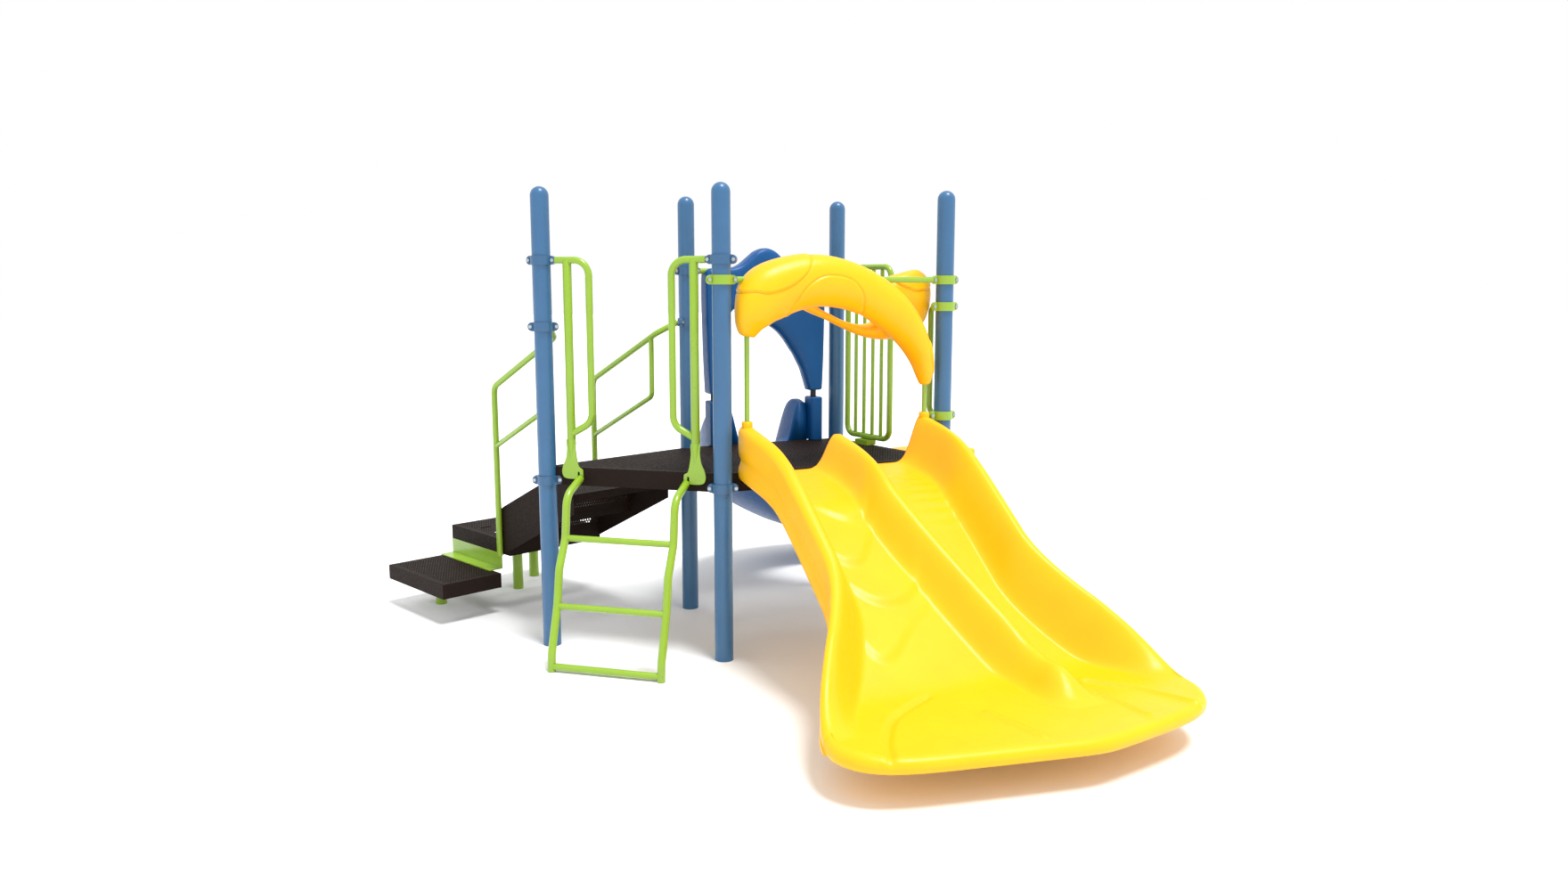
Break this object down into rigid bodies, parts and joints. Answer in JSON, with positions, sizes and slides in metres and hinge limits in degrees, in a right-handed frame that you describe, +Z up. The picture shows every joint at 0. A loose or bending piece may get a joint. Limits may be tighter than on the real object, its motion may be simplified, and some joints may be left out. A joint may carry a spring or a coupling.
{
  "type": "double wave slide play structure",
  "caption": "Play structure on five posts with a double wave slide, its hood, a rear slide, ladder, stair and barrier.",
  "frame": {"origin": "centre of the foot of post C, the post at the ladder side of the double slide, on the ground", "axes": "+Z up, +X from post C to post E along the double slide's bay, the double slide runs towards -Y"},
  "size_m": [3.0089, 3.963, 2.2739],
  "materials": {
    "post_blue": "powder-coated steel, satin, light steel blue",
    "clamp_blue": "powder-coated cast aluminium, satin, steel blue",
    "deck_brown": "textured brown vinyl coating over punched steel sheet",
    "yellow_plastic": "rotomoulded polyethylene, smooth, yellow",
    "blue_plastic": "rotomoulded polyethylene, smooth, blue",
    "green_pipe": "powder-coated steel pipe, satin, lime green",
    "black_steel": "black coated steel",
    "zinc_bolt": "zinc-plated steel"
  },
  "bodies": {
    "root": {"post_a": "post_blue", "post_b": "post_blue", "post_c": "post_blue", "post_d": "post_blue", "post_e": "post_blue", "post_caps": "post_blue", "deck_triangle": "deck_brown", "deck_main": "deck_brown", "deck_clamps": "clamp_blue", "enclosure_clamps": "clamp_blue", "enclosure_left": "green_pipe", "enclosure_right": "green_pipe", "enclosure_foot_plates": "green_pipe", "ladder_rail_left": "green_pipe", "ladder_rail_right": "green_pipe", "ladder_rungs": "green_pipe", "stair_stringers": "deck_brown", "stair_treads": "deck_brown", "stair_risers": "deck_brown", "stair_platform": "deck_brown", "stair_legs": "green_pipe", "lower_tread": "deck_brown", "step_bracket": "green_pipe", "handrail_clamps": "clamp_blue", "handrail_near": "green_pipe", "handrail_far": "green_pipe", "double_slide": "yellow_plastic", "slide_exit_leg": "green_pipe", "slide_hood": "yellow_plastic", "hood_poles": "green_pipe", "slide_bar": "green_pipe", "slide_bar_clamps": "green_pipe", "barrier_frame": "green_pipe", "barrier_bars": "green_pipe", "barrier_foot": "green_pipe", "barrier_clamps": "green_pipe", "loop_rail": "green_pipe", "loop_clamps": "green_pipe", "side_step": "yellow_plastic", "side_step_leg": "green_pipe", "rear_slide": "blue_plastic", "rear_columns": "blue_plastic", "rear_slide_leg": "green_pipe", "rear_hood": "blue_plastic", "rear_hood_pins": "black_steel", "rear_bar": "green_pipe", "rear_bar_clamps": "clamp_blue", "clamp_bolts": "zinc_bolt", "slide_bolts": "zinc_bolt"}
  },
  "joints": []
}
